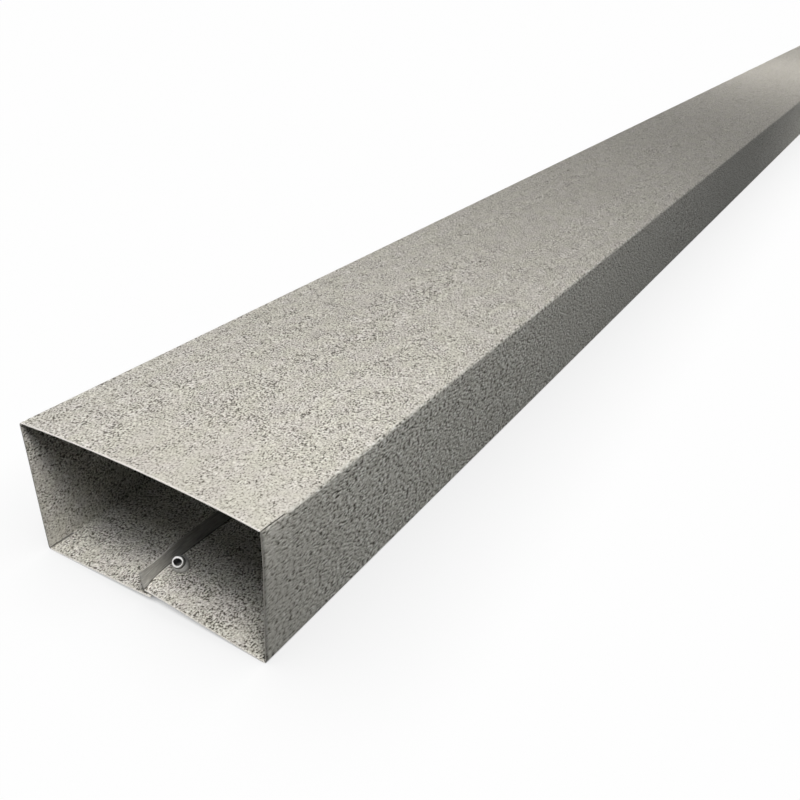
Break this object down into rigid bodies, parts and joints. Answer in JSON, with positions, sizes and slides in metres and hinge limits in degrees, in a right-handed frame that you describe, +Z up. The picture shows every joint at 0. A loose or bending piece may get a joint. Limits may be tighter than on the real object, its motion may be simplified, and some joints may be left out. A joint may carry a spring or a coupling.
{
  "type": "rectangular downpipe",
  "caption": "Rectangular folded sheet-metal downpipe, open at both ends, with a riveted lap seam along the middle of one wide side; leads roof water down a wall.",
  "frame": {"origin": "middle of the pipe's length and width, on the floor that its seam side lies over", "axes": "+X across the wide side, +Y along the pipe away from the pictured end, +Z up"},
  "size_m": [0.1, 1.8, 0.052],
  "materials": {
    "zinc_steel": "spangled aluminium-zinc coating, satin",
    "rivet_metal": "bright"
  },
  "bodies": {
    "root": {"pipe_shell": "zinc_steel", "rivet_1": "rivet_metal", "rivet_2": "rivet_metal", "rivet_3": "rivet_metal"}
  },
  "joints": []
}
